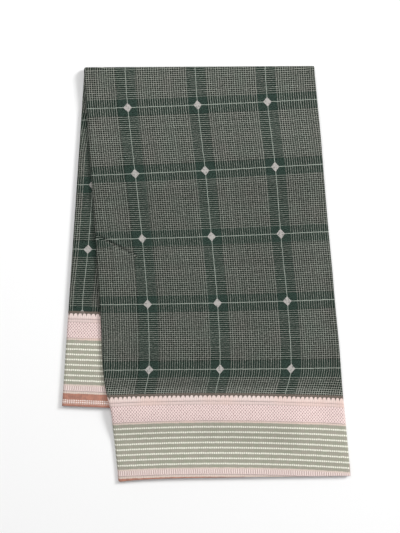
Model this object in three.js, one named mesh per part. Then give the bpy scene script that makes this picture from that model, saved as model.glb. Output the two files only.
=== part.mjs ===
// A cotton saree folded for a shop shelf and laid flat. Millimetres, +Z up, origin at the middle of the
// floor under it, +Y towards the top fold, +X to the right.
//
// The cloth is 1118 mm wide, from one woven border to the other, and 5.5 m long. The length is folded in
// half four times, which makes a stack of 16 layers, one sixteenth of the length across. The stack is then
// folded once over the top, so that the front half, which ends at one border, lies on the back half, which
// ends at the other. The fold isn't square to the stack: the front half leans to the right as it comes
// down and the back half to the left, where a strip of it shows.
import * as THREE from "three";

// Driving sizes
const panelWidth = 346; // one sixteenth of the saree's length, measured along the top fold
const frontDrop = 617; // from the top fold to the front hem
const backDrop = 510; // from the top fold to the back hem, at its left corner
const halfThickness = 6.5; // the 16 layers of one half, with the air between them
const wall = 1.2; // a sheet that shows, as a wall
const gap = 0.3; // between neighbouring pieces

// The plan: where the edges run, as a drift in x for each millimetre below the top fold
const foldLeft = -183.04; // x of the top fold's left end
const foldTop = 311.87; // y of the top fold, at its middle
const foldRise = 0.0058; // the fold climbs a little to the right
const frontLeanLeft = 0.067;
const frontLeanRight = 0.088;
const borderPull = { from: 440, to: 570, by: 11 }; // the border draws the front's left edge in
const backLean = -0.0668;
const frontHemSlope = 0.0125;
const backHemSlope = -0.042;

// The woven bands, measured up from the hem
const selvedgeDepth = 19.5; // the plain band outside the border, turned under at the front hem
const borderDepth = 121.5;
const selvedgeShows = { everywhere: 0.4, corner: 5.2, within: 36 }; // below the front border

// The front half comes down to the floor over this distance, past the back half's edges
const rampStart = 2;
const rampLength = 52;

// Soft troughs and ridges of the front half: where they cross the cloth, how far they reach, how deep
const creases = [
  { across: 24, along: 372, halfWidth: 26, halfLength: 20, turn: 14, depth: -0.8 },
  { across: 92, along: 455, halfWidth: 34, halfLength: 90, turn: -8, depth: 0.45 },
  { across: 196, along: 300, halfWidth: 30, halfLength: 130, turn: 6, depth: -0.4 },
  { across: 268, along: 470, halfWidth: 32, halfLength: 85, turn: -6, depth: 0.4 },
  { across: 130, along: 178, halfWidth: 34, halfLength: 60, turn: 9, depth: -0.45 },
];

const middle = halfThickness; // the height at which the two halves meet
const outer = halfThickness; // the radius of the top fold
const edgeRounding = 0.4;

const clamp = (value) => Math.min(1, Math.max(0, value));
const smooth = (value) => clamp(value) ** 2 * (3 - 2 * clamp(value));
const mix = (from, to, share) => from + (to - from) * share;
const radians = (degrees) => (degrees * Math.PI) / 180;

const foldY = (across) => foldTop + foldRise * (across - panelWidth / 2);
const frontLeft = (below) =>
  foldLeft +
  frontLeanLeft * below +
  borderPull.by * smooth((below - borderPull.from) / (borderPull.to - borderPull.from));
const frontRight = (below) => foldLeft + panelWidth + frontLeanRight * below;
const backRight = (below) => foldLeft + panelWidth + backLean * below;
const frontHemY = (across) => foldTop - frontDrop + frontHemSlope * (across - panelWidth / 2);
const backHemY = (across) => foldTop - backDrop + backHemSlope * across;

// How far the front half has come down to the floor at a point of the plan, from 0 to 1
function ramp(x, y) {
  const pastRight = Math.max(0, x - backRight(foldTop - y));
  const pastHem = Math.max(0, backHemY(x - foldLeft + backDrop * -backLean) - y);
  return smooth((Math.hypot(pastRight, pastHem) - rampStart) / rampLength);
}

// How far a crease or a ridge lifts the cloth that shows. The layers under it lift less and less.
function creaseHeight(across, along) {
  let height = 0;
  for (const c of creases) {
    const turn = radians(c.turn);
    const dx = across - c.across;
    const dy = along - c.along;
    const over = (dx * Math.cos(turn) + dy * Math.sin(turn)) / c.halfWidth;
    const down = (dy * Math.cos(turn) - dx * Math.sin(turn)) / c.halfLength;
    height += c.depth * Math.exp(-over * over - down * down);
  }
  return height;
}

// A point of the front half. along counts up from the hem. rise is the height in the folded stack, from 0
// on the side that faces the back half to halfThickness on the side that shows. Past the flat stretch the
// point goes on round the top fold.
const frontFlat = frontDrop - outer;
const foldStretch = Math.PI * outer;
function frontPoint(across, along, rise) {
  const top = foldY(across) - outer;
  if (along > frontFlat) {
    const angle = (along - frontFlat) / outer;
    return [foldLeft + across, top + rise * Math.sin(angle), middle + rise * Math.cos(angle)];
  }
  const y = mix(frontHemY(across), top, along / frontFlat);
  const below = foldTop - outer - y;
  const x = mix(frontLeft(below), frontRight(below), across / panelWidth);
  const bend = creaseHeight(across, along) * clamp((rise - gap) / (halfThickness - gap));
  return [x, y, middle + rise + bend - (middle + gap) * ramp(x, y)];
}

// A point of the back half. rise counts up from the floor.
const backFlat = backDrop - outer;
function backPoint(across, along, rise) {
  const top = foldY(across) - outer - gap;
  const y = mix(backHemY(across), top, along / backFlat);
  return [foldLeft + backLean * (top - y) + across, y, rise];
}

// The left edge is one round nose, because all the layers are nested there
const noseDepth = 3.2;
function noseInset(rise) {
  const share = (rise - halfThickness / 2) / (halfThickness / 2);
  return noseDepth * (1 - Math.sqrt(Math.max(0, 1 - share * share)));
}

// The other edges show the layers as leaves with grooves between them. Each row is a height in the stack
// and how far the edge stands in there, on the right side and at the hem.
const leaves = [
  { rise: 1.5, right: 0.9, hem: 0.8 },
  { rise: 2.05, right: 0.2, hem: 0.5 },
  { rise: 2.45, right: 3.4, hem: 3.2 },
  { rise: 2.8, right: 2.2, hem: 2.0 },
  { rise: 3.2, right: 1.3, hem: 1.5 },
  { rise: 3.55, right: 3.6, hem: 3.4 },
  { rise: 3.85, right: 1.2, hem: 1.2 },
  { rise: 4.4, right: 0.4, hem: 0.5 },
  { rise: 5.0, right: 0.9, hem: 1.2 },
];
const topLeaf = leaves[leaves.length - 1].rise;

function addQuad(indices, a, b, c, d) {
  indices.push(a, b, c, a, c, d);
}

// A closed body between a low and a high surface, on lines across and along the stack. levels holds the
// low surface, each ring round the edge and the high surface. Each has a rise, and how far its left edge,
// its right edge and its hem stand in.
function clothSolid(name, material, point, acrossLines, alongLines, levels) {
  const nA = acrossLines.length - 1;
  const nB = alongLines.length - 1;
  const positions = [];
  const indices = [];
  const put = (level, i, j) => {
    const across = acrossLines[i] + (i === 0 ? level.left : 0) - (i === nA ? level.right : 0);
    const along = alongLines[j] + (j === 0 ? level.start(across) : 0);
    positions.push(...point(across, along, level.rise));
    return positions.length / 3 - 1;
  };
  const surface = (level) => {
    const grid = [];
    for (let j = 0; j <= nB; j++) {
      grid.push([]);
      for (let i = 0; i <= nA; i++) grid[j].push(put(level, i, j));
    }
    return grid;
  };
  // Counted round the edge: along the start, up the right, back along the end, down the left
  const around = [];
  for (let i = 0; i < nA; i++) around.push([i, 0]);
  for (let j = 0; j < nB; j++) around.push([nA, j]);
  for (let i = nA; i > 0; i--) around.push([i, nB]);
  for (let j = nB; j > 0; j--) around.push([0, j]);

  const low = surface(levels[0]);
  const high = surface(levels[levels.length - 1]);
  for (let j = 0; j < nB; j++) {
    for (let i = 0; i < nA; i++) {
      addQuad(indices, high[j][i], high[j][i + 1], high[j + 1][i + 1], high[j + 1][i]);
      addQuad(indices, low[j][i], low[j + 1][i], low[j + 1][i + 1], low[j][i + 1]);
    }
  }
  let ring = around.map(([i, j]) => low[j][i]);
  for (let k = 1; k < levels.length; k++) {
    const last = k === levels.length - 1;
    const next = around.map(([i, j]) => (last ? high[j][i] : put(levels[k], i, j)));
    for (let n = 0; n < around.length; n++) {
      const m = (n + 1) % around.length;
      addQuad(indices, ring[n], ring[m], next[m], next[n]);
    }
    ring = next;
  }
  const geometry = new THREE.BufferGeometry();
  geometry.setAttribute("position", new THREE.Float32BufferAttribute(positions, 3));
  geometry.setIndex(indices);
  geometry.computeVertexNormals();
  const mesh = new THREE.Mesh(geometry, material);
  mesh.name = name;
  return mesh;
}

// The levels of a thin wall with rounded edges. Its lower edge is rounded only where it is a hem.
function wallLevels(low, high, isHem) {
  const level = (rise, rounding) => ({
    rise,
    left: noseInset(rise),
    right: rounding,
    start: () => (isHem ? rounding : 0),
  });
  return [level(low, edgeRounding), level((low + high) / 2, 0), level(high, edgeRounding)];
}

const fieldCloth = new THREE.MeshStandardMaterial({ color: 0x5b5f58, roughness: 0.9, metalness: 0 });
const borderCloth = new THREE.MeshStandardMaterial({ color: 0xc9bfb4, roughness: 0.85, metalness: 0 });
const selvedgeCloth = new THREE.MeshStandardMaterial({ color: 0xb68675, roughness: 0.85, metalness: 0 });

const spread = (from, to, count) =>
  Array.from({ length: count + 1 }, (_, n) => mix(from, to, n / count));

// Lines across the front half are closer where it comes down to the floor on the right
const frontAcross = [0, 8, 30, 66, 110, 155, 200, 232, 252, 266, 279, 291, 303, 315, 326, 337, panelWidth];
const backAcross = [0, 8, 60, 140, 220, 300, 338, panelWidth];

// Lines along the front half are closer where it comes down to the floor past the back hem
const rampLines = [40, 60, 70, 80, 90, 100, 110];
const borderLines = [0, 12, ...rampLines, borderDepth];
const fieldLines = [...spread(borderDepth + gap, 300, 5), ...spread(334, frontFlat - gap, 8)];
const foldLines = spread(frontFlat, frontFlat + foldStretch, 8);

// The sheet that shows on the front, from the hem to the top fold and round it
const shows = { low: halfThickness - wall, high: halfThickness };
const frontField = clothSolid(
  "front_field", fieldCloth, frontPoint, frontAcross, fieldLines, wallLevels(shows.low, shows.high, false),
);
const frontBorder = clothSolid(
  "front_border", borderCloth, frontPoint, frontAcross, borderLines,
  wallLevels(shows.low, shows.high, true),
);
const topFold = clothSolid(
  "top_fold", fieldCloth, frontPoint, frontAcross, foldLines, wallLevels(shows.low, shows.high, false),
);

// The sheet on the front half's other side, which faces the back half and the floor
const inner = { low: gap, high: gap + wall - 0.2 };
const innerField = clothSolid(
  "inner_field", fieldCloth, frontPoint, frontAcross, [...fieldLines.slice(0, -1), ...foldLines],
  wallLevels(inner.low, inner.high, false),
);
const innerBorder = clothSolid(
  "inner_border", borderCloth, frontPoint, frontAcross,
  [selvedgeDepth, ...rampLines, borderDepth], wallLevels(inner.low, inner.high, false),
);
const innerSelvedge = clothSolid(
  "inner_selvedge", selvedgeCloth, frontPoint, frontAcross,
  [1, selvedgeDepth - gap], wallLevels(inner.low, inner.high, true),
);

// The plain edge band, turned under the front border. It sticks out below the border at the left corner.
const turned = { low: topLeaf - 0.9, high: topLeaf };
const sticksOut = (across) =>
  selvedgeShows.everywhere + selvedgeShows.corner * Math.exp(-across / selvedgeShows.within);
const turnedLevels = [
  { rise: turned.low, rounding: 0.3 },
  { rise: (turned.low + turned.high) / 2, rounding: 0 },
  { rise: turned.high, rounding: 0.3 },
].map(({ rise, rounding }) => ({
  rise,
  left: noseInset(rise),
  right: 0.8 + rounding,
  start: (across) => rounding - sticksOut(across),
}));
const frontSelvedge = clothSolid(
  "front_selvedge", selvedgeCloth, frontPoint, frontAcross, [0, 6, selvedgeDepth], turnedLevels,
);

// The hidden layers of a half, from one rise to another, with the leaves round their edges
function leafLevels(from, to) {
  const nearest = (rise) =>
    leaves.reduce((best, leaf) => (Math.abs(leaf.rise - rise) < Math.abs(best.rise - rise) ? leaf : best));
  const between = leaves.map((leaf) => leaf.rise).filter((rise) => rise > from + 0.1 && rise < to - 0.1);
  return [from, ...between, to].map((rise) => ({
    rise,
    left: noseInset(rise),
    right: nearest(rise).right,
    start: () => nearest(rise).hem,
  }));
}

// The front half's layers go on round the top fold. Their upper leaves stop short of the hem, where the
// edge band is turned under.
const shortLeaves = leafLevels(turned.low - gap + 0.05, topLeaf).map((level) => ({
  ...level,
  start: () => selvedgeDepth + gap,
}));
const frontLayers = clothSolid(
  "front_layers", fieldCloth, frontPoint, frontAcross,
  [0, ...rampLines, borderDepth, ...fieldLines.slice(1, -1), ...foldLines],
  [...leafLevels(inner.high + gap, turned.low - gap), ...shortLeaves],
);

// The back half: the sheet on the floor, the hidden layers, and the sheet that faces the front half and
// shows at the left
const backBands = [
  { band: "selvedge", cloth: selvedgeCloth, lines: [0, selvedgeDepth - gap] },
  { band: "border", cloth: borderCloth, lines: spread(selvedgeDepth, selvedgeDepth + borderDepth, 3) },
  { band: "field", cloth: fieldCloth, lines: spread(selvedgeDepth + borderDepth + gap, backFlat, 7) },
];
const backSheet = (side, low, high) =>
  backBands.map(({ band, cloth, lines }) =>
    clothSolid(
      `${side}_${band}`, cloth, backPoint, backAcross, lines,
      wallLevels(low, high, band === "selvedge"),
    ),
  );
const backLayers = clothSolid(
  "back_layers", fieldCloth, backPoint, backAcross, spread(0, backFlat, 12),
  leafLevels(wall + gap, topLeaf),
);

const saree = new THREE.Group();
saree.add(frontField, frontBorder, frontSelvedge, topFold, frontLayers);
saree.add(innerField, innerBorder, innerSelvedge);
saree.add(...backSheet("under", 0, wall), backLayers, ...backSheet("back", shows.low, shows.high));

export default saree;
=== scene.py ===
import math

import bpy
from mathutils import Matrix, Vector, noise


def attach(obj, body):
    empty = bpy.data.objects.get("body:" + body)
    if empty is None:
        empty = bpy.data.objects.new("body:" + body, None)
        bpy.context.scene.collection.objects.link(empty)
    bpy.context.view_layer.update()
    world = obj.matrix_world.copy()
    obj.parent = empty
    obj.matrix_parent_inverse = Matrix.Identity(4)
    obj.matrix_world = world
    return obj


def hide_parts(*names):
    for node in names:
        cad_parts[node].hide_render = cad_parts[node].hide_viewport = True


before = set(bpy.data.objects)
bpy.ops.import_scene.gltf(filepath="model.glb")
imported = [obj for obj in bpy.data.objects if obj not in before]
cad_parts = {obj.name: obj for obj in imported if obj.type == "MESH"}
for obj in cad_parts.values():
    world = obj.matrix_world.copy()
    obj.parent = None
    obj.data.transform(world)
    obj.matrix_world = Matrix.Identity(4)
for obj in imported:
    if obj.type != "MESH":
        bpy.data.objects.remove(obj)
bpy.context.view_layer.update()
bpy.ops.object.select_all(action="DESELECT")
print("frame loaded")

# Lengths are millimetres, except those of the lamps and the floor, and the meshes are made in metres
metre = 0.001

cameraValues = {
    "lens": 85,
    "centre": (-8.55, 11.9),
    "pixel": 1.5,  # on the cloth that lies on top
    "imageHeight": 533,
    "topOfCloth": 13,
}
lampValues = [
    {"name": "overhead", "place": (-0.3, 0.95, 2.5), "size": 2.2, "power": 30},
    {"name": "fromTheRight", "place": (2.9, 1.7, 2.25), "size": 1.4, "power": 135},
    {"name": "fromTheLeft", "place": (-1.7, -0.6, 1.8), "size": 1.6, "power": 2},
]
worldValues = {"colour": (1.0, 1.0, 1.0, 1), "strength": 0.36}
floorValues = {"size": 9.0, "colour": (0.9, 0.9, 0.9, 1), "roughness": 0.7, "below": 0.0002}


def addCamera(values):
    data = bpy.data.cameras.new("camera")
    data.lens = values["lens"]
    data.dof.use_dof = False
    # the sensor's width lies along the longer side of the picture, its height
    distance = values["imageHeight"] * values["pixel"] * values["lens"] / data.sensor_width
    camera = bpy.data.objects.new("camera", data)
    bpy.context.scene.collection.objects.link(camera)
    x, y = values["centre"]
    camera.location = (x * metre, y * metre, (distance + values["topOfCloth"]) * metre)
    bpy.context.scene.camera = camera


def addLamps(rows):
    for row in rows:
        data = bpy.data.lights.new(row["name"], "AREA")
        data.shape = "DISK"
        data.size = row["size"]
        data.energy = row["power"]
        lamp = bpy.data.objects.new(row["name"], data)
        bpy.context.scene.collection.objects.link(lamp)
        lamp.location = row["place"]
        lamp.rotation_euler = (-Vector(row["place"])).to_track_quat("-Z", "Y").to_euler()


def addWorld(values):
    world = bpy.data.worlds.new("studio")
    world.use_nodes = True
    sky = world.node_tree.nodes["Background"]
    sky.inputs["Color"].default_value = values["colour"]
    sky.inputs["Strength"].default_value = values["strength"]
    bpy.context.scene.world = world


def addFloor(values):
    bpy.ops.mesh.primitive_plane_add(size=values["size"], location=(0, 0, 0))
    floor = bpy.context.object
    floor.name = "floor"
    bpy.ops.object.mode_set(mode="EDIT")
    bpy.ops.mesh.select_all(action="SELECT")
    bpy.ops.transform.translate(value=(0, 0, -values["below"]))
    bpy.ops.object.mode_set(mode="OBJECT")
    paper = bpy.data.materials.new("studioPaper")
    paper.use_nodes = True
    shader = paper.node_tree.nodes["Principled BSDF"]
    shader.inputs["Base Color"].default_value = values["colour"]
    shader.inputs["Roughness"].default_value = values["roughness"]
    floor.data.materials.append(paper)
    floor.select_set(False)


addCamera(cameraValues)
addLamps(lampValues)
addWorld(worldValues)
addFloor(floorValues)
bpy.context.scene.view_settings.view_transform = "Standard"
print("camera, lamps and floor made")

stack = {
    "panelWidth": 346.0,
    "frontDrop": 617.0,
    "backDrop": 510.0,
    "halfThickness": 6.5,
    "foldLeft": -183.04,
    "foldTop": 311.87,
    "foldRise": 0.0058,
    "frontLeanLeft": 0.067,
    "frontLeanRight": 0.0895,
    "backLean": -0.0668,
    "frontHemSlope": 0.0125,
    "backHemSlope": -0.042,
    "cornerDip": 5.4,  # the hem drops at the front's lower left corner
    "cornerReach": 36.0,
    "rampStart": 2.0,
    "rampLength": 52.0,
    "noseDepth": 3.2,
    "shoulderDrops": (1.5, 0.5),  # at the left edge and at the right
    "shoulderReach": 11.0,
    "shoulderFrom": 45.0,  # below the top fold
    "rollStretch": 1.15,  # the top fold is longer than it is round
    "thread": 0.24,  # thickness of one layer
}
frontFlat = stack["frontDrop"] - stack["halfThickness"]
backFlat = stack["backDrop"] - stack["halfThickness"]

# How far the front's left edge is drawn in, or out if negative, by the distance down from the top fold
leftPull = [
    {"drop": 0, "by": 0.0},
    {"drop": 370, "by": 0.0},
    {"drop": 430, "by": -1.6},
    {"drop": 466, "by": -0.8},
    {"drop": 492, "by": 2.4},
    {"drop": 512, "by": 6.2},
    {"drop": 540, "by": 7.2},
    {"drop": 570, "by": 8.6},
    {"drop": 596, "by": 9.6},
    {"drop": 617, "by": 9.9},
]

# Soft troughs and ridges of the front half, across from its left edge and up from its hem
creases = [
    {"across": 11.1, "along": 360.9, "halfWidth": 2.6, "halfLength": 14, "turn": 61, "depth": -2.0},
    {"across": 32.7, "along": 348.5, "halfWidth": 2.9, "halfLength": 17, "turn": 60, "depth": -2.3},
    {"across": 55, "along": 336, "halfWidth": 3.4, "halfLength": 13, "turn": 58, "depth": -1.1},
    {"across": 13.3, "along": 364.9, "halfWidth": 2.7, "halfLength": 14, "turn": 61, "depth": 1.1},
    {"across": 34.9, "along": 352.5, "halfWidth": 3.0, "halfLength": 17, "turn": 60, "depth": 1.4},
    {"across": 57, "along": 340, "halfWidth": 3.4, "halfLength": 13, "turn": 58, "depth": 0.6},
    {"across": 58, "along": 368, "halfWidth": 14, "halfLength": 44, "turn": 60, "depth": 0.4},
    {"across": 9, "along": 250, "halfWidth": 3.2, "halfLength": 62, "turn": 2, "depth": -0.7},
    {"across": 92, "along": 455, "halfWidth": 34, "halfLength": 90, "turn": -8, "depth": 0.45},
    {"across": 196, "along": 300, "halfWidth": 30, "halfLength": 130, "turn": 6, "depth": -0.4},
    {"across": 268, "along": 470, "halfWidth": 32, "halfLength": 85, "turn": -6, "depth": 0.4},
    {"across": 130, "along": 178, "halfWidth": 34, "halfLength": 60, "turn": 9, "depth": -0.45},
]


def smooth(value):
    value = min(1.0, max(0.0, value))
    return value * value * (3 - 2 * value)


def mix(start, end, share):
    return start + (end - start) * share


def foldY(across):
    return stack["foldTop"] + stack["foldRise"] * (across - stack["panelWidth"] / 2)


# A smooth curve through one column of a table
def readTable(rows, key, column, value):
    value = min(rows[-1][key], max(rows[0][key], value))
    n = max(i for i in range(len(rows) - 1) if rows[i][key] <= value)
    near = [rows[max(0, min(len(rows) - 1, n + k))] for k in (-1, 0, 1, 2)]
    step = near[2][key] - near[1][key]
    t = (value - near[1][key]) / step
    slopes = []
    for low, high in ((near[0], near[2]), (near[1], near[3])):
        slopes.append((high[column] - low[column]) / (high[key] - low[key]) * step)
    start, end = near[1][column], near[2][column]
    fromStart = start * (2 * t**3 - 3 * t**2 + 1) + slopes[0] * (t**3 - 2 * t**2 + t)
    return fromStart + end * (3 * t**2 - 2 * t**3) + slopes[1] * (t**3 - t**2)


def frontLeft(drop):
    pull = readTable(leftPull, "drop", "by", drop)
    return stack["foldLeft"] + stack["frontLeanLeft"] * drop + pull


def frontRight(drop):
    return stack["foldLeft"] + stack["panelWidth"] + stack["frontLeanRight"] * drop


def backHemY(across):
    return stack["foldTop"] - stack["backDrop"] + stack["backHemSlope"] * across


def frontHemY(across, rise):
    dip = stack["cornerDip"] * math.exp(-max(0.0, across) / stack["cornerReach"])
    slope = stack["frontHemSlope"] * (across - stack["panelWidth"] / 2)
    return stack["foldTop"] - stack["frontDrop"] + slope - dip * rise / stack["halfThickness"]


# How far the front half has come down to the floor at a point, from 0 to 1
def ramp(x, y):
    drop = stack["foldTop"] - y
    backRight = stack["foldLeft"] + stack["panelWidth"] + stack["backLean"] * drop
    backAcross = x - stack["foldLeft"] - stack["backLean"] * stack["backDrop"]
    pastRight = max(0.0, x - backRight)
    pastHem = max(0.0, backHemY(backAcross) - y)
    return smooth((math.hypot(pastRight, pastHem) - stack["rampStart"]) / stack["rampLength"])


def creaseHeight(across, along):
    height = 0.0
    for crease in creases:
        turn = math.radians(crease["turn"])
        dx = across - crease["across"]
        dy = along - crease["along"]
        over = (dx * math.cos(turn) + dy * math.sin(turn)) / crease["halfWidth"]
        down = (dy * math.cos(turn) - dx * math.sin(turn)) / crease["halfLength"]
        height += crease["depth"] * math.exp(-over * over - down * down)
    return height


# How much lower the cloth lies near the folded edges of the front half
def shoulder(across):
    height = 0.0
    for drop, inFrom in zip(stack["shoulderDrops"], (across, stack["panelWidth"] - across)):
        height += drop * math.exp(-max(0.0, inFrom) / stack["shoulderReach"])
    return height


# A point of the folded stack. rise is its distance from the plane where the two halves meet, and
# travel is the distance up from a half's hem, or the angle round the top fold.
def placePoint(zone, travel, across, rise):
    half = stack["halfThickness"]
    top = foldY(across) - half
    if zone == "roll":
        x = stack["foldLeft"] + across
        y = top + rise * math.sin(travel) * stack["rollStretch"]
        return x, y, half + rise * math.cos(travel)
    if zone == "back":
        y = mix(backHemY(across), top, travel / backFlat)
        return stack["foldLeft"] + stack["backLean"] * (top - y) + across, y, half - rise
    y = mix(frontHemY(across, rise), top, travel / frontFlat)
    drop = stack["foldTop"] - half - y
    x = mix(frontLeft(drop), frontRight(drop), across / stack["panelWidth"])
    bend = creaseHeight(across, travel) - shoulder(across) * smooth(drop / stack["shoulderFrom"])
    return x, y, half + rise + bend * rise / half - half * ramp(x, y)


# On the loom s runs along the cloth's length and w across its width, up from the front hem
weave = {
    "clothWidth": 1118.0,
    "columnPitch": 104.4,
    "columnStart": 62.0,
    "rowPitch": 99.4,
    "rowStart": 181.7,
    "borderTop": 141.0,
    "frontTopW": 636.8,
    "frontScale": 1.0015,
    "blend": 60.0,
}
# How the pattern lies on the front, by the distance down from the top fold: x of its second column,
# how much its columns are drawn apart, the slope and bow of its rows, and how far it has slipped
frontWeave = [
    {"drop": 0, "column": -16.2, "stretch": 1.007, "slope": -0.042, "bow": -1.4, "slip": 0.0},
    {"drop": 58, "column": -12.1, "stretch": 1.007, "slope": -0.042, "bow": -1.4, "slip": 0.0},
    {"drop": 157, "column": -0.6, "stretch": 1.012, "slope": -0.049, "bow": -1.1, "slip": 0.8},
    {"drop": 256, "column": 8.8, "stretch": 0.998, "slope": -0.034, "bow": -1.5, "slip": 0.9},
    {"drop": 356, "column": 17.8, "stretch": 1.006, "slope": -0.022, "bow": -1.2, "slip": 0.5},
    {"drop": 455, "column": 21.5, "stretch": 1.02, "slope": -0.008, "bow": 0.2, "slip": 0.4},
    {"drop": 494, "column": 13.9, "stretch": 1.01, "slope": 0.005, "bow": 3.9, "slip": 0.6},
    {"drop": 534, "column": 14.3, "stretch": 1.01, "slope": 0.004, "bow": 5.0, "slip": 0.4},
    {"drop": 617, "column": 18.3, "stretch": 1.01, "slope": 0.010, "bow": 5.2, "slip": -0.5},
]
# How it lies on the strip of the back that shows, by the distance up from the hem: the width of
# cloth up to there, and how far the pattern has slid across since the top fold
backWeave = [
    {"travel": 0, "width": 0.3, "shift": -18.3},
    {"travel": 70, "width": 70.6, "shift": -18.3},
    {"travel": 101, "width": 102.3, "shift": -18.3},
    {"travel": 138.9, "width": 141, "shift": -18.3},
    {"travel": 168, "width": 170, "shift": -18.6},
    {"travel": 236, "width": 239.6, "shift": -15.9},
    {"travel": 334, "width": 340, "shift": -15.0},
    {"travel": 384, "width": 391, "shift": -15.0},
    {"travel": 503.5, "width": 513, "shift": 0.0},
]


def frontPattern(x, y):
    drop = stack["foldTop"] - y
    off = x - (frontLeft(drop) + frontRight(drop)) / 2
    lie = {key: readTable(frontWeave, "drop", key, drop) for key in frontWeave[0]}
    s = (x - lie["column"]) / lie["stretch"] + weave["columnStart"] + weave["columnPitch"]
    level = drop + lie["slip"] - lie["slope"] * off - lie["bow"] * (2 * off / stack["panelWidth"]) ** 2
    return s, weave["frontTopW"] - weave["frontScale"] * level


# The layer that shows on the front and lies on the floor at the back
def topPattern(zone, travel, across):
    rise = riseOf(layerValues["outermost"])
    if zone == "front":
        x, y, _ = placePoint(zone, travel, across, rise)
        return frontPattern(x, y)
    s, w = topPattern("front", frontFlat, across)
    if zone == "roll":
        return s, w + travel * rise
    s += readTable(backWeave, "travel", "shift", travel)
    if travel <= weave["borderTop"]:
        return s, weave["clothWidth"] - travel
    share = (travel - weave["borderTop"]) / (backFlat - weave["borderTop"])
    return s, mix(weave["clothWidth"] - weave["borderTop"], w + math.pi * rise, share)


# The layer that shows on the back strip and lies inside the top fold
def innerPattern(zone, travel, across):
    s = topPattern(zone, travel, 0)[0] + 2 * stack["noseDepth"] - noseArc() - across
    atFold = weave["clothWidth"] - readTable(backWeave, "travel", "width", backFlat)
    if zone == "roll":
        return s, atFold
    if zone == "back":
        return s, weave["clothWidth"] - readTable(backWeave, "travel", "width", travel)
    share = (travel - weave["borderTop"]) / (frontFlat - weave["borderTop"])
    return s, travel if share <= 0 else mix(weave["borderTop"], atFold, share)


# The two layers meet round the nose at the left edge, where the side that shows sets the pattern
def leafPattern(zone, travel, col):
    inFrom = smooth((col["across"] - stack["noseDepth"]) / weave["blend"])
    topS, topW = topPattern(zone, travel, stack["noseDepth"])
    innerW = innerPattern(zone, travel, stack["noseDepth"])[1]
    edgeShare = {"front": 0.0, "roll": travel / math.pi, "back": 1.0}[zone]
    edgeW = mix(topW, innerW, edgeShare)
    if col["side"] == "nose":
        return topS - col["extra"], edgeW
    if col["side"] == "top":
        s, w = topPattern(zone, travel, col["across"])
        return s + col["extra"], mix(edgeW, w, mix(1, inFrom, edgeShare))
    s, w = innerPattern(zone, travel, col["across"])
    return s - col["extra"], mix(edgeW, w, mix(inFrom, 1, edgeShare))


# The layers that don't show run straight
def hiddenPattern(zone, travel, col):
    middle = frontFlat + stack["halfThickness"]
    if zone == "front":
        return col["s"], travel
    if zone == "roll":
        return col["s"], middle
    return col["s"], mix(middle, weave["clothWidth"], 1 - travel / backFlat)


# A half's layers are columns of points that run from hem to hem
layerValues = {
    "outermost": 1,
    "innermost": 16,
    "slots": 17,  # the second one holds the edge band that is turned under the front hem
    "turnSquash": 0.9,
    "stub": 13.0,  # how far a sheet goes on past its last turn
    "wobble": 0.9,
    "wobbleLength": 95.0,
    "wobbleReach": 14.0,
    "bundleStep": 3.7,  # in the noise that moves the right edge
    "noisePlane": 0.5,
    "rollLength": 20.0,
    "hemReach": 30.0,
    "smoothAngle": 60,
}
# The right edge: layers that turn back there together, and how far in they stop
bundles = [
    {"layers": range(1, 9), "inset": -0.8},
    {"layers": range(9, 10), "inset": 2.6},
    {"layers": range(10, 11), "inset": 1.9},
    {"layers": range(11, 13), "inset": 1.3},
    {"layers": range(13, 17), "inset": 0.7},
]
# How far each layer stops short of the leaf's hem, from the first layer to the last
hemInsets = [0, 1.1, 0.6, 1.9, 1.4, 0.8, 2.3, 1.2, 0.5, 1.7, 2.6, 1.0, 1.5, 0.7, 1.3, 0.2]


def slotRise(slot):
    return stack["halfThickness"] * (layerValues["slots"] + 0.5 - slot) / layerValues["slots"]


def riseOf(layer):
    return slotRise(layer if layer == layerValues["outermost"] else layer + 1)


def bundleOf(layer):
    return next(n for n, bundle in enumerate(bundles) if layer in bundle["layers"])


# How far the turn between two layers stands out at the left edge
def noseReach(first, last):
    radius = abs(riseOf(first) - riseOf(last)) / 2
    return stack["noseDepth"] * radius / (stack["halfThickness"] / 2)


def noseArc():
    first, last = layerValues["outermost"], layerValues["innermost"]
    radius = (riseOf(first) - riseOf(last)) / 2
    return math.pi * (radius + noseReach(first, last)) / 2


# Where a layer ends at the right edge, and where its bundle starts to turn there
def looseEnd(layer):
    return stack["panelWidth"] - bundles[bundleOf(layer)]["inset"]


def turnBase(layer):
    layers = bundles[bundleOf(layer)]["layers"]
    outer = (riseOf(layers[0]) - riseOf(layers[-1])) / 2
    return looseEnd(layer) - outer * layerValues["turnSquash"]


# extra is the distance along the cloth from the end of the straight run beside it
def pointColumn(across, rise, layer, side="hidden", extra=0.0, inset=None):
    return {
        "across": across,
        "rise": rise,
        "bundle": bundleOf(layer),
        "side": side,
        "extra": extra,
        "inset": hemInsets[layer - 1] if inset is None else inset,
    }


def spread(start, end, step):
    count = max(1, round(abs(end - start) / step))
    return [mix(start, end, n / count) for n in range(count + 1)]


# A half turn between two layers, at the left nose or at the right edge
def halfTurn(first, last, atLeft, count, side="hidden"):
    radius = (riseOf(first) - riseOf(last)) / 2
    middle = (riseOf(first) + riseOf(last)) / 2
    if atLeft:
        base, reach = stack["noseDepth"], -noseReach(first, last)
    else:
        base, reach = turnBase(first), abs(radius) * layerValues["turnSquash"]
    columns = []
    for n in range(1, count):
        angle = math.pi * n / count
        arc = (abs(radius) + abs(reach)) / 2 * angle
        inset = mix(hemInsets[first - 1], hemInsets[last - 1], n / count)
        rise = middle + radius * math.cos(angle)
        columns.append(pointColumn(base + reach * math.sin(angle), rise, first, side, arc, inset))
    return columns


def layerRun(layer, start, end, step, side):
    return [pointColumn(across, riseOf(layer), layer, side) for across in spread(start, end, step)]


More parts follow.
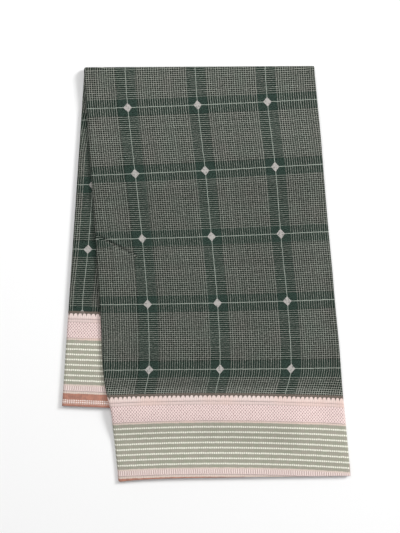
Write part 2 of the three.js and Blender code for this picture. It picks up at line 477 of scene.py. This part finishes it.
# How far the right edge of a bundle stands out at a point along it
def edgeWobble(bundle, zone, travel, across):
    if zone == "roll":
        place = frontFlat + travel * stack["halfThickness"]
    elif zone == "back":
        place = frontFlat + layerValues["rollLength"] + backFlat - travel
    else:
        place = travel
    share = smooth((across - stack["panelWidth"]) / layerValues["wobbleReach"] + 1)
    along = place / layerValues["wobbleLength"]
    where = Vector((along, layerValues["bundleStep"] * bundle, layerValues["noisePlane"]))
    return layerValues["wobble"] * noise.noise(where) * share


def clothMesh(name, columns, rows, pattern):
    points = []
    uvs = []
    faces = []
    index = {}
    for j, (zone, travel) in enumerate(rows):
        for i, col in enumerate(columns):
            if zone in ("turned", "hem") and col["side"] != "top":
                continue
            index[i, j] = len(points)
            point, uv = clothPoint(zone, travel, col, pattern)
            points.append([value * metre for value in point])
            uvs.append([value * metre for value in uv])
    for j in range(len(rows) - 1):
        for i in range(len(columns) - 1):
            corners = [(i, j), (i + 1, j), (i + 1, j + 1), (i, j + 1)]
            if all(corner in index for corner in corners):
                faces.append([index[corner] for corner in corners])
    mesh = bpy.data.meshes.new(name)
    mesh.from_pydata(points, [], faces)
    layer = mesh.uv_layers.new(name="cloth")
    for loop in mesh.loops:
        layer.data[loop.index].uv = uvs[loop.vertex_index]
    piece = bpy.data.objects.new(name, mesh)
    bpy.context.scene.collection.objects.link(piece)
    return piece


def clothPoint(zone, travel, col, pattern):
    if zone in ("turned", "hem"):
        return turnedPoint(zone, travel, col)
    across = col["across"] + edgeWobble(col["bundle"], zone, travel, col["across"])
    shown = travel
    if zone != "roll":
        shown += col["inset"] * max(0.0, 1 - travel / layerValues["hemReach"])
    return placePoint(zone, shown, across, col["rise"]), pattern(zone, shown, col)


# The edge band of the front's top layer goes round the hem and back under it, in the second slot
def turnedPoint(zone, travel, col):
    high, low = slotRise(1), slotRise(2)
    across = col["across"] + edgeWobble(col["bundle"], "front", 0, col["across"])
    s, w = leafPattern("front", 0, col)
    radius = (high - low) / 2
    if zone == "hem":
        rise = (high + low) / 2 + radius * math.cos(travel)
        return placePoint("front", -radius * math.sin(travel), across, rise), (s, w - radius * travel)
    return placePoint("front", travel, across, low), (s, w - math.pi * radius - travel)


def finishCloth(piece, thickness):
    bpy.ops.object.select_all(action="DESELECT")
    piece.select_set(True)
    bpy.context.view_layer.objects.active = piece
    wall = piece.modifiers.new("wall", "SOLIDIFY")
    wall.thickness = thickness * metre
    wall.offset = 0
    bpy.ops.object.modifier_apply(modifier=wall.name)
    bpy.ops.object.mode_set(mode="EDIT")
    bpy.ops.mesh.select_all(action="SELECT")
    bpy.ops.mesh.normals_make_consistent(inside=False)
    bpy.ops.object.mode_set(mode="OBJECT")
    bpy.ops.object.shade_smooth_by_angle(angle=math.radians(layerValues["smoothAngle"]))
    piece.select_set(False)


# Steps are distances between points of the mesh, and rows are distances up from the hem
leafValues = {
    "upperStub": 8,  # the layers that the leaf ends in, past its turns at the right edge
    "lowerStub": 13,
    "stubStep": 6,
    "upperTurnSteps": 6,
    "lowerTurnSteps": 5,
    "noseSteps": 10,
    "step": 4.2,
    "fineStep": 1.6,
    "fineTo": 62.0,  # across from the left edge
    "fineAlong": (322.0, 378.0),  # where the sharpest crease runs
    "strip": 46.0,  # across the part of the back that shows
    "hiddenStep": 8.5,
    "backStep": 7.0,
    "rollSteps": 14,
    "firstRows": [0, 1.2],
    "rowsFrom": 4,
    "turned": 19.0,  # the edge band under the front hem
    "turnedStep": 5,
    "hemSteps": 4,
}


def leafColumns(values):
    nose = stack["noseDepth"]
    first, last = layerValues["outermost"], layerValues["innermost"]
    base = {layer: turnBase(layer) for layer in (first, last)}
    upper = halfTurn(values["upperStub"], first, False, values["upperTurnSteps"], "top")
    upperArc = upper[-1]["extra"] + upper[0]["extra"]
    for col in upper:
        col["extra"] = upperArc - col["extra"]
    stubFrom = base[first] - layerValues["stub"]
    stub = layerRun(values["upperStub"], stubFrom, base[first], values["stubStep"], "top")
    for col in stub:
        col["extra"] = upperArc + base[first] - col["across"]
    top = layerRun(first, base[first], values["fineTo"], values["step"], "top")
    top += layerRun(first, values["fineTo"], nose, values["fineStep"], "top")[1:]
    turn = halfTurn(first, last, True, values["noseSteps"], "nose")
    inner = layerRun(last, nose, values["strip"], values["step"], "inner")
    inner += layerRun(last, values["strip"], base[last], values["hiddenStep"], "inner")[1:]
    lower = halfTurn(last, values["lowerStub"], False, values["lowerTurnSteps"], "inner")
    lowerArc = lower[-1]["extra"] + lower[0]["extra"]
    tailTo = base[last] - layerValues["stub"]
    tail = layerRun(values["lowerStub"], base[last], tailTo, values["stubStep"], "inner")
    for col in tail:
        col["extra"] = lowerArc + base[last] - col["across"]
    return stub + upper + top + turn + inner + lower + tail


def rollRows(steps):
    return [("roll", math.pi * n / steps) for n in range(1, steps)]


def leafRows(values):
    rows = [("turned", travel) for travel in spread(values["turned"], 0, values["turnedStep"])]
    steps = values["hemSteps"]
    rows += [("hem", math.pi * (1 - n / steps)) for n in range(1, steps)]
    low, high = values["fineAlong"]
    up = values["firstRows"] + spread(values["rowsFrom"], low, values["step"])
    up += spread(low, high, values["fineStep"])[1:]
    up += spread(high, frontFlat, values["step"])[1:]
    rows += [("front", travel) for travel in up] + rollRows(values["rollSteps"])
    rows += [("back", travel) for travel in spread(backFlat, 0, values["backStep"])]
    return rows


outerLeaf = clothMesh("outerLeaf", leafColumns(leafValues), leafRows(leafValues), leafPattern)
finishCloth(outerLeaf, stack["thread"])
print("outer leaf made:", len(outerLeaf.data.polygons), "faces")

# The hidden layers are two strands, and each is given by the order in which it runs through them
hiddenValues = {
    "upperOrder": [9, 8],
    "lowerOrder": [13, 4, 5, 12, 11, 6, 3, 14, 15, 2, 7, 10],
    "clearOfStub": 0.4,
    "turnSteps": 5,
    "acrossStep": 19.0,
    "fineFrom": 230.0,  # across from the left edge
    "fineStep": 8.3,
    "firstRows": [0, 1.5],
    "rowsFrom": 5,
    "hemStep": 8.0,
    "hemTo": 116.0,
    "step": 14.0,
    "rollSteps": 8,
    "backStep": 30.0,
    "backTo": 36,
    "lastRows": [24, 14, 6, 2, 0],
}


def hiddenRun(layer, start, end, values):
    low, high = sorted((start, end))
    across = spread(low, values["fineFrom"], values["acrossStep"])[:-1]
    across += spread(values["fineFrom"], high, values["fineStep"])
    if start > end:
        across.reverse()
    return [pointColumn(place, riseOf(layer), layer) for place in across]


# A strand goes from layer to layer, turning at the left and the right in turn
def strandColumns(order, start, end, values):
    columns = []
    nose = stack["noseDepth"]
    goingLeft = True
    for n, layer in enumerate(order):
        right = turnBase(layer)
        if n == 0:
            right = start
        elif n == len(order) - 1:
            right = end
        run = (right, nose) if goingLeft else (nose, right)
        columns += hiddenRun(layer, *run, values)
        if n + 1 < len(order):
            columns += halfTurn(layer, order[n + 1], goingLeft, values["turnSteps"])
        goingLeft = not goingLeft
    place = 0.0
    for before, after in zip(columns, columns[1:]):
        before["s"] = place
        place += math.hypot(after["across"] - before["across"], after["rise"] - before["rise"])
    columns[-1]["s"] = place
    return columns


def hiddenRows(values):
    up = values["firstRows"] + spread(values["rowsFrom"], values["hemTo"], values["hemStep"])
    up += spread(values["hemTo"], frontFlat, values["step"])[1:]
    down = spread(backFlat, values["backTo"], values["backStep"]) + values["lastRows"]
    rows = [("front", travel) for travel in up] + rollRows(values["rollSteps"])
    return rows + [("back", travel) for travel in down]


def addHiddenLayers(values):
    stub = layerValues["stub"] + values["clearOfStub"]
    upper, lower = values["upperOrder"], values["lowerOrder"]
    first = strandColumns(upper, looseEnd(upper[0]), turnBase(upper[-1]) - stub, values)
    second = strandColumns(lower, turnBase(lower[0]) - stub, looseEnd(lower[-1]), values)
    rows = hiddenRows(values)
    strands = [clothMesh("strand", columns, rows, hiddenPattern) for columns in (first, second)]
    bpy.ops.object.select_all(action="DESELECT")
    for strand in strands:
        strand.select_set(True)
    bpy.context.view_layer.objects.active = strands[0]
    bpy.ops.object.join()
    strands[0].name = "foldedLayers"
    finishCloth(strands[0], stack["thread"])
    return strands[0]


foldedLayers = addHiddenLayers(hiddenValues)
print("folded layers made:", len(foldedLayers.data.polygons), "faces")

# The woven pattern is worked out in millimetres of cloth, from the map called cloth
palette = {
    "green": (0.0125, 0.0185, 0.0138),
    "bandGreen": (0.0148, 0.0275, 0.0208),
    "teal": (0.0242, 0.042, 0.0335),
    "lightThread": (0.335, 0.366, 0.318),
    "greyThread": (0.357, 0.335, 0.306),
    "line": (0.38, 0.42, 0.37),
    "diamond": (0.435, 0.415, 0.395),
    "pink": (0.745, 0.60, 0.57),
    "peach": (0.76, 0.54, 0.47),
    "meshGround": (0.87, 0.705, 0.68),
    "rose": (0.45, 0.30, 0.29),
    "tooth": (0.82, 0.68, 0.64),
    "tickGround": (0.50, 0.35, 0.33),
    "brown": (0.165, 0.130, 0.108),
    "sage": (0.343, 0.352, 0.276),
    "greySage": (0.385, 0.358, 0.303),
    "sageDash": (0.84, 0.835, 0.725),
    "edging": (0.70, 0.585, 0.515),
    "maroon": (0.46, 0.36, 0.34),
    # darker terracotta, used both for the terracotta's random mottle and as painted shade along the hem
    # edge
    "terracotta": (0.495, 0.235, 0.17),
    "mottledAndShadedTerracotta": (0.33, 0.17, 0.135),
    "dot": (0.90, 0.80, 0.75),
}
# Clouds are written as their scale, detail, middle value and spread
fieldValues = {
    "bandHalf": (14.1, 12.2),  # beside a column and beside a row, as for the others in pairs
    "lineHalf": (0.38, 0.42),
    "diamondHalf": (6.3, 7.2),
    "lighter": [  # next to the front border, a painted highlight where a soft ridge runs, and lighter towards the top fold
        # painted highlight: threads lighter above the front border, standing in for the light on a soft
        # ridge
        {"at": 149.0, "reach": 9.0, "by": 0.8},
        {"at": 575.0, "reach": 110.0, "by": 0.3},
    ],
    "threadPitch": (3.45, 3.07),
    "threadShare": 0.24,
    "threadStrength": (0.5, 0.28),  # at least, and how much more
    "threadsAlone": 0.82,  # they are brightest where they cross
    "slub": (420, 3, 1.0, 1.4),
    "groundCloud": (620, 1, 1.0, 1.6),
    "diamondCloud": (360, 2, 0.86, 1.2),
    "warmth": (28, 2, 0.35, 0.8),
    "lineCloud": (260, 2, 0.85, 0.5),
    "wander": [(130, 2, 0.0, 0.75), (170, 2, 0.0, 0.75)],  # of s and w, so that no line is quite straight
}
# Halves without a length of their own are shares of the pitch
borderValues = {
    "reach": 150.0,
    "toothPitch": 6.6,
    "toothBase": 137.6,
    "toothHeight": 4.6,
    "toothPower": 3.4,
    "brownTo": 145.6,
    "brownShare": 0.85,
    "mesh": (105.0, 128.4),
    "meshPitch": (4.36, 5.1),
    "meshShare": 0.95,
    "meshLevel": 0.18,
    "meshCloud": (300, 2, 0.85, 0.5),
    "ticks": (25.0, 31.4),
    "tickPitch": 3.3,
    "tickHalf": 0.25,
    "tickCloud": (60, 2, 0.68, 0.6),
    "dots": (4.2, 10.6),
    "dotPitch": (3.3, 3.2),
    "dotStart": 0.4,
    "dotHalf": 0.36,
    "dotShare": 0.9,
    "stripeFirst": 39.5,
    "stripePitch": 7.93,
    "stripeCount": 8,
    "stripeWidth": 2.4,
    "stripeMargin": 2,
    "dashPitch": 3.2,
    "dashHalf": 0.37,
    "dashStrength": (0.22, 0.78),  # between the dashes, and how much more on them
    "warp": (150, 3, 0.17, 0.3),
}
# Patches of another colour, from one distance from the cloth's edge to another
patches = [
    {"from": 101.2, "to": 150.0, "colour": "peach", "cloud": (18, 2, 0.2, 0.9)},
    {"from": -10.0, "to": 19.9, "colour": "mottledAndShadedTerracotta", "cloud": (150, 3, 0.3, 1.4)},
    {"from": 33.6, "to": 101.2, "colour": "greySage", "cloud": (130, 3, 0.45, 1.6)},
]
# The bands of the border, by the distance from the cloth's edge at which each starts
bands = [
    # the first band, darker along the cloth's edge, is painted shade where the hem's edge lies in shadow
    {"start": 0.0, "colour": "mottledAndShadedTerracotta"},
    {"start": 1.2, "colour": "terracotta"},
    {"start": 19.9, "colour": "edging"},
    {"start": 22.3, "colour": "maroon"},
    {"start": 23.6, "colour": "pink"},
    {"start": 31.6, "colour": "edging"},
    {"start": 33.6, "colour": "sage"},
    {"start": 101.2, "colour": "edging"},
    {"start": 103.6, "colour": "maroon"},
    {"start": 104.7, "colour": "pink"},
    {"start": 128.7, "colour": "maroon"},
    {"start": 129.3, "colour": "pink"},
    {"start": 132.9, "colour": "maroon"},
    {"start": 133.6, "colour": "pink"},
    {"start": 135.6, "colour": "tooth"},
]


# The nodes that the woven pattern is built from
class Loom:
    def __init__(self, tree):
        self.tree = tree
        clothMap = self.node("ShaderNodeUVMap")
        clothMap.uv_map = "cloth"
        self.map = clothMap.outputs[0]

    def node(self, kind):
        return self.tree.nodes.new(kind)

    def put(self, socket, value):
        if isinstance(value, bpy.types.NodeSocket):
            self.tree.links.new(value, socket)
        else:
            socket.default_value = value

    def math(self, operation, *values):
        made = self.node("ShaderNodeMath")
        made.operation = operation
        for socket, value in zip(made.inputs, values):
            self.put(socket, value)
        return made.outputs[0]

    def times(self, *values):
        product = values[0]
        for value in values[1:]:
            product = self.math("MULTIPLY", product, value)
        return product

    def colour(self, share, first, second):
        made = self.node("ShaderNodeMix")
        made.data_type = "RGBA"
        self.put(made.inputs["Factor"], share)
        for name, value in (("A", first), ("B", second)):
            socket = next(i for i in made.inputs if i.name == name and i.type == "RGBA")
            self.put(socket, (*value, 1) if isinstance(value, tuple) else value)
        return next(o for o in made.outputs if o.type == "RGBA")

    def between(self, value, low, high):
        return self.times(self.math("GREATER_THAN", value, low), self.math("LESS_THAN", value, high))

    # Distance to the nearest of lines a pitch apart
    def toLine(self, value, start, pitch):
        return self.math("PINGPONG", self.math("SUBTRACT", value, start), pitch / 2)

    # Soft noise about the middle value, more or less than it by up to the spread
    def cloud(self, scale, detail, middle, spread):
        made = self.node("ShaderNodeTexNoise")
        self.put(made.inputs["Vector"], self.map)
        made.inputs["Scale"].default_value = scale
        made.inputs["Detail"].default_value = detail
        return self.math("MULTIPLY_ADD", made.outputs[0], 2 * spread, middle - spread)

    def scaled(self, colour, factor):
        made = self.node("ShaderNodeVectorMath")
        made.operation = "SCALE"
        self.put(made.inputs[0], colour)
        self.put(made.inputs["Scale"], factor)
        return made.outputs[0]

    # Light threads a pitch apart, each with a strength of its own
    def threads(self, value, pitch, share, strength):
        onThread = self.math("LESS_THAN", self.toLine(value, 0, pitch), pitch / 2 * share)
        number = self.math("ROUND", self.math("DIVIDE", value, pitch))
        random = self.node("ShaderNodeTexWhiteNoise")
        random.noise_dimensions = "1D"
        self.put(random.inputs["W"], number)
        least, more = strength
        return self.times(onThread, self.math("MULTIPLY_ADD", random.outputs["Value"], more, least))


def fieldColour(loom, s, w, values):
    toColumn = loom.toLine(s, weave["columnStart"], weave["columnPitch"])
    toRow = loom.toLine(w, weave["rowStart"], weave["rowPitch"])
    offColumn = loom.math("GREATER_THAN", toColumn, values["bandHalf"][0])
    offRow = loom.math("GREATER_THAN", toRow, values["bandHalf"][1])
    inCheck = loom.times(offColumn, offRow)
    upright, level = (
        loom.threads(place, pitch, values["threadShare"], values["threadStrength"])
        for place, pitch in zip((s, w), values["threadPitch"])
    )
    light = loom.math("ADD", loom.times(upright, offColumn), loom.times(level, offRow))
    light = loom.times(light, loom.cloud(*values["slub"]), values["threadsAlone"])
    # the threads are made lighter in these bands; the one next to the front border is a painted highlight
    # of a soft ridge
    for place in values["lighter"]:
        off = loom.math("ABSOLUTE", loom.math("SUBTRACT", w, place["at"]))
        near = loom.math("MAXIMUM", 0, loom.math("SUBTRACT", 1, loom.math("DIVIDE", off, place["reach"])))
        light = loom.times(light, loom.math("MULTIPLY_ADD", near, place["by"], 1))
    ground = loom.colour(inCheck, palette["bandGreen"], palette["green"])
    ground = loom.colour(loom.math("MAXIMUM", offColumn, offRow), palette["teal"], ground)
    ground = loom.scaled(ground, loom.cloud(*values["groundCloud"]))
    warmth = loom.cloud(*values["warmth"])
    thread = loom.colour(warmth, palette["lightThread"], palette["greyThread"])
    checked = loom.colour(light, ground, thread)
    onColumn = loom.math("LESS_THAN", toColumn, values["lineHalf"][0])
    onRow = loom.math("LESS_THAN", toRow, values["lineHalf"][1])
    line = loom.times(loom.math("MAXIMUM", onColumn, onRow), loom.cloud(*values["lineCloud"]))
    lined = loom.colour(line, checked, palette["line"])
    arms = [loom.math("DIVIDE", *pair) for pair in zip((toColumn, toRow), values["diamondHalf"])]
    diamond = loom.math("LESS_THAN", loom.math("ADD", *arms), 1)
    diamond = loom.times(diamond, loom.cloud(*values["diamondCloud"]))
    return loom.colour(diamond, lined, palette["diamond"])


def bandColour(loom, edge, values):
    ramp = loom.node("ShaderNodeValToRGB")
    ramp.color_ramp.interpolation = "CONSTANT"
    stops = ramp.color_ramp.elements
    while len(stops) < len(bands):
        stops.new(0.5)
    for stop, band in zip(stops, bands):
        stop.position = band["start"] / values["reach"]
        stop.color = (*palette[band["colour"]], 1)
    loom.put(ramp.inputs[0], loom.math("DIVIDE", edge, values["reach"]))
    colour = ramp.outputs[0]
    for patch in patches:
        share = loom.times(loom.between(edge, patch["from"], patch["to"]), loom.cloud(*patch["cloud"]))
        colour = loom.colour(share, colour, palette[patch["colour"]])
    return colour


# A mesh of small dots on the pink
def withMesh(loom, colour, s, edge, values):
    waves = []
    for place, pitch in zip((s, edge), values["meshPitch"]):
        waves.append(loom.math("COSINE", loom.math("MULTIPLY", place, 2 * math.pi / pitch)))
    inMesh = loom.between(edge, *values["mesh"])
    colour = loom.colour(loom.times(inMesh, values["meshShare"]), colour, palette["meshGround"])
    isDot = loom.math("GREATER_THAN", loom.times(*waves), values["meshLevel"])
    dots = loom.times(isDot, inMesh, loom.cloud(*values["meshCloud"]))
    return loom.colour(dots, colour, palette["rose"])


# Upright ticks near the edging
def withTicks(loom, colour, s, edge, values):
    pitch = values["tickPitch"]
    isTick = loom.math("LESS_THAN", loom.toLine(s, 0, pitch), pitch * values["tickHalf"])
    tickColour = loom.colour(isTick, palette["tickGround"], palette["dot"])
    share = loom.times(loom.between(edge, *values["ticks"]), loom.cloud(*values["tickCloud"]))
    return loom.colour(share, colour, tickColour)


# The dotted rows on the terracotta
def withDots(loom, colour, s, edge, values):
    near = []
    for place, pitch in zip((s, edge), values["dotPitch"]):
        toDot = loom.toLine(place, values["dotStart"], pitch)
        near.append(loom.math("LESS_THAN", toDot, pitch * values["dotHalf"]))
    dots = loom.times(*near, loom.between(edge, *values["dots"]), values["dotShare"])
    return loom.colour(dots, colour, palette["dot"])


# Dashed lines on the sage band, and the darker warp that runs across the whole border
def withStripes(loom, colour, s, edge, values):
    first, pitch = values["stripeFirst"], values["stripePitch"]
    onStripe = loom.math("LESS_THAN", loom.toLine(edge, first, pitch), values["stripeWidth"] / 2)
    last = first + pitch * (values["stripeCount"] - 0.5)
    inStripes = loom.between(edge, first - values["stripeMargin"], last)
    toDash = loom.toLine(s, 0, values["dashPitch"])
    dash = loom.math("LESS_THAN", toDash, values["dashPitch"] * values["dashHalf"])
    least, more = values["dashStrength"]
    dashes = loom.times(onStripe, inStripes, loom.math("MULTIPLY_ADD", dash, more, least))
    colour = loom.colour(dashes, colour, palette["sageDash"])
    warp = loom.times(loom.math("SUBTRACT", 1, dash), loom.cloud(*values["warp"]))
    return loom.colour(warp, colour, palette["brown"])


def borderColour(loom, s, edge, values):
    colour = bandColour(loom, edge, values)
    for addPattern in (withMesh, withTicks, withDots, withStripes):
        colour = addPattern(loom, colour, s, edge, values)
    return colour


# The border ends in a row of rounded teeth, with a brown line past it
def joinAtTeeth(loom, s, edge, border, field, values):
    pitch = values["toothPitch"]
    side = loom.math("DIVIDE", loom.toLine(s, 0, pitch), pitch / 2)
    dome = loom.math("SUBTRACT", 1, loom.math("POWER", side, values["toothPower"]))
    toothTop = loom.math("MULTIPLY_ADD", dome, values["toothHeight"], values["toothBase"])
    isBrown = loom.math("LESS_THAN", edge, values["brownTo"])
    edged = loom.colour(loom.times(isBrown, values["brownShare"]), field, palette["brown"])
    return loom.colour(loom.math("GREATER_THAN", edge, toothTop), border, edged)


cottonValues = {
    "tone": (9, 2, 0.968, 0.09),
    "grain": (600, 3, 1.0, 0.16),
    "surface": {"Roughness": 0.86, "Specular IOR Level": 0.1, "Sheen Weight": 0.02, "Sheen Roughness": 0.5},
    "yarnPitch": 0.55,
    "unevenness": (45, 3, 0.0, 1.5),
    "relief": {"Strength": 0.4, "Distance": 0.0004},
}


# Fine yarns and a slow unevenness, as relief
def weaveRelief(loom, s, w, values):
    pitch = values["yarnPitch"]
    yarns = loom.math("ADD", loom.toLine(s, 0, pitch), loom.toLine(w, 0, pitch))
    bump = loom.node("ShaderNodeBump")
    for name, value in values["relief"].items():
        bump.inputs[name].default_value = value
    loom.put(bump.inputs["Height"], loom.math("ADD", loom.cloud(*values["unevenness"]), yarns))
    return bump.outputs[0]


def weaveMaterial():
    material = bpy.data.materials.new("wovenCotton")
    material.use_nodes = True
    loom = Loom(material.node_tree)
    shader = material.node_tree.nodes["Principled BSDF"]
    parts = loom.node("ShaderNodeSeparateXYZ")
    loom.put(parts.inputs[0], loom.map)
    wander = [loom.cloud(*cloud) for cloud in fieldValues["wander"]]
    s, w = (loom.math("MULTIPLY_ADD", parts.outputs[n], 1 / metre, wander[n]) for n in (0, 1))
    edge = loom.math("MINIMUM", w, loom.math("SUBTRACT", weave["clothWidth"], w))
    field = fieldColour(loom, s, w, fieldValues)
    border = borderColour(loom, s, edge, borderValues)
    cloth = joinAtTeeth(loom, s, edge, border, field, borderValues)
    streaks = loom.times(loom.cloud(*cottonValues["tone"]), loom.cloud(*cottonValues["grain"]))
    loom.put(shader.inputs["Base Color"], loom.scaled(cloth, streaks))
    for name, value in cottonValues["surface"].items():
        shader.inputs[name].default_value = value
    loom.put(shader.inputs["Normal"], weaveRelief(loom, s, w, cottonValues))
    return material


wovenCotton = weaveMaterial()
for piece in (outerLeaf, foldedLayers):
    piece.data.materials.clear()
    piece.data.materials.append(wovenCotton)
print("woven pattern made")

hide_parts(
    "front_field",
    "front_border",
    "front_selvedge",
    "top_fold",
    "inner_field",
    "inner_border",
    "inner_selvedge",
    "under_selvedge",
    "under_border",
    "under_field",
    "back_selvedge",
    "back_border",
    "back_field",
)
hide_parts("front_layers", "back_layers")
for piece in (outerLeaf, foldedLayers):
    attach(piece, "root")
